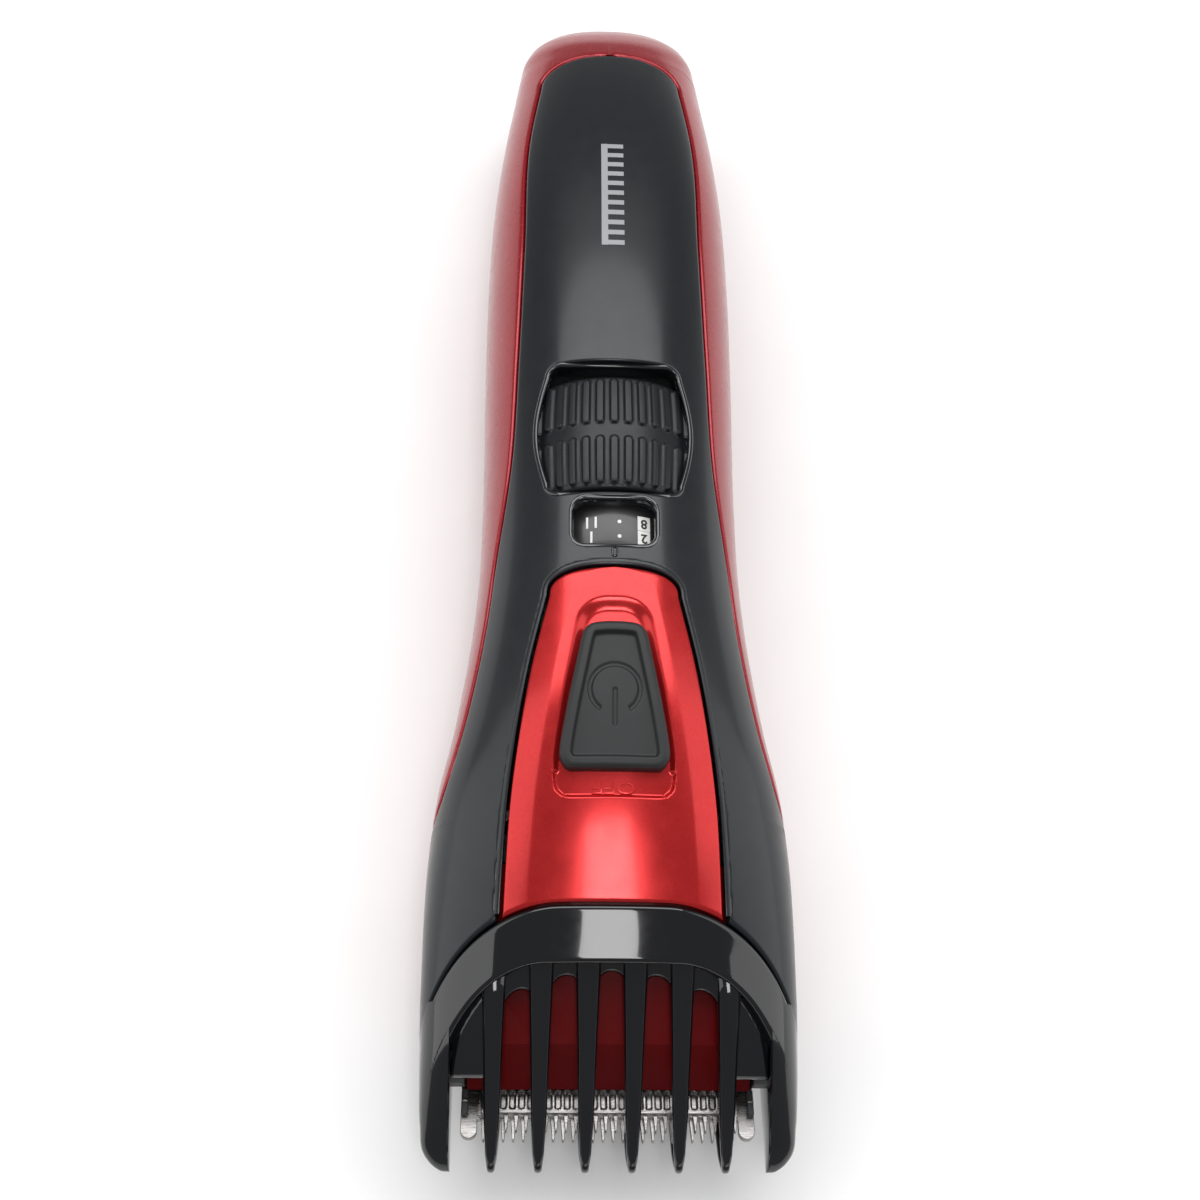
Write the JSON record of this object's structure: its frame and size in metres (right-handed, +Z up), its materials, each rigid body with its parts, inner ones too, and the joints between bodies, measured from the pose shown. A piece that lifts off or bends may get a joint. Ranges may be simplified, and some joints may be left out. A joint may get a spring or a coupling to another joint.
{
  "type": "hair clipper",
  "caption": "Cordless hair clipper with a slide-on guide comb, a ribbed zoom wheel with a number window and a slide switch.",
  "frame": {"origin": "middle of the length and width, at the height of the flat face the clipper lies on", "axes": "+X across the blades, +Y from the blades towards the butt of the handle, +Z up, on the side with the switch"},
  "size_m": [0.051, 0.19, 0.0385],
  "materials": {
    "red_shell": "gloss, metallic red lacquer",
    "black_cover": "satin",
    "red_panel": "satin metallic red",
    "soft_black": "matte",
    "black_gloss": "gloss",
    "comb_black": "gloss",
    "dark_red": "gloss",
    "inner_grey": "matte",
    "white_resin": "matte",
    "blade_steel": "ground",
    "screw_steel": "satin",
    "motor_steel": "satin",
    "brass": "satin",
    "cell_wrap": "wrapped",
    "board_green": "satin",
    "clear_light": "gloss"
  },
  "bodies": {
    "body": {"lower_housing": "red_shell", "top_cover": "black_cover", "switch_panel": "red_panel", "head_cover": "dark_red", "stationary_blade": "blade_steel", "blade_base": "inner_grey", "yoke_pin": "screw_steel", "motor_can": "motor_steel", "motor_end_cap": "inner_grey", "motor_bracket": "inner_grey", "inner_frame": "inner_grey", "cell_contact_rear": "brass", "main_board": "board_green", "charge_board": "board_green", "switch_body": "inner_grey", "charge_inlet": "black_gloss", "charge_light": "clear_light", "blade_screw_left": "screw_steel", "blade_spring_left": "screw_steel", "cell_left": "cell_wrap", "cell_contact_left": "brass", "case_screw_front_left": "screw_steel", "case_screw_rear_left": "screw_steel", "blade_screw_right": "screw_steel", "blade_spring_right": "screw_steel", "cell_right": "cell_wrap", "cell_contact_right": "brass", "case_screw_front_right": "screw_steel", "case_screw_rear_right": "screw_steel"},
    "wheel": {"zoom_wheel": "black_gloss", "number_drum": "black_gloss"},
    "carrier": {"comb_carrier": "inner_grey"},
    "comb": {"guide_comb": "comb_black"},
    "switch_knob": {"power_switch": "soft_black"},
    "rotor": {"motor_shaft": "screw_steel", "eccentric_cam": "brass"},
    "yoke": {"drive_yoke": "white_resin"},
    "cutter": {"moving_blade": "blade_steel"}
  },
  "joints": [
    {"name": "wheel_turn", "type": "hinge", "parent": "body", "child": "wheel", "pos_m": [0, 0.0046, 0.022], "axis": [0, 1, 0], "range_deg": [0, 240]},
    {"name": "carrier_slide", "type": "slide", "parent": "body", "child": "carrier", "axis": [0, -1, 0], "range_m": [0, 0.01202]},
    {"name": "comb_pull", "type": "slide", "parent": "carrier", "child": "comb", "axis": [0, -1, 0], "range_m": [0, 0.04]},
    {"name": "switch_slide", "type": "slide", "parent": "body", "child": "switch_knob", "axis": [0, -0.9924, -0.123], "range_m": [0, 0.003]},
    {"name": "rotor_spin", "type": "hinge", "parent": "body", "child": "rotor", "pos_m": [0, -0.0425, 0.016], "axis": [0, 1, 0], "continuous": true},
    {"name": "yoke_swing", "type": "hinge", "parent": "body", "child": "yoke", "pos_m": [0, -0.0675, 0.016], "axis": [0, 0, 1], "range_deg": [-5.1, 5.1]},
    {"name": "blade_slide", "type": "slide", "parent": "body", "child": "cutter", "axis": [1, 0, 0], "range_m": [-0.00125, 0.00125]}
  ],
  "couplings": [
    {"joint": "carrier_slide", "follows": "wheel_turn", "m_per_rad": 0.0028648},
    {"joint": "yoke_swing", "follows": "blade_slide", "rad_per_m": 71.4}
  ]
}
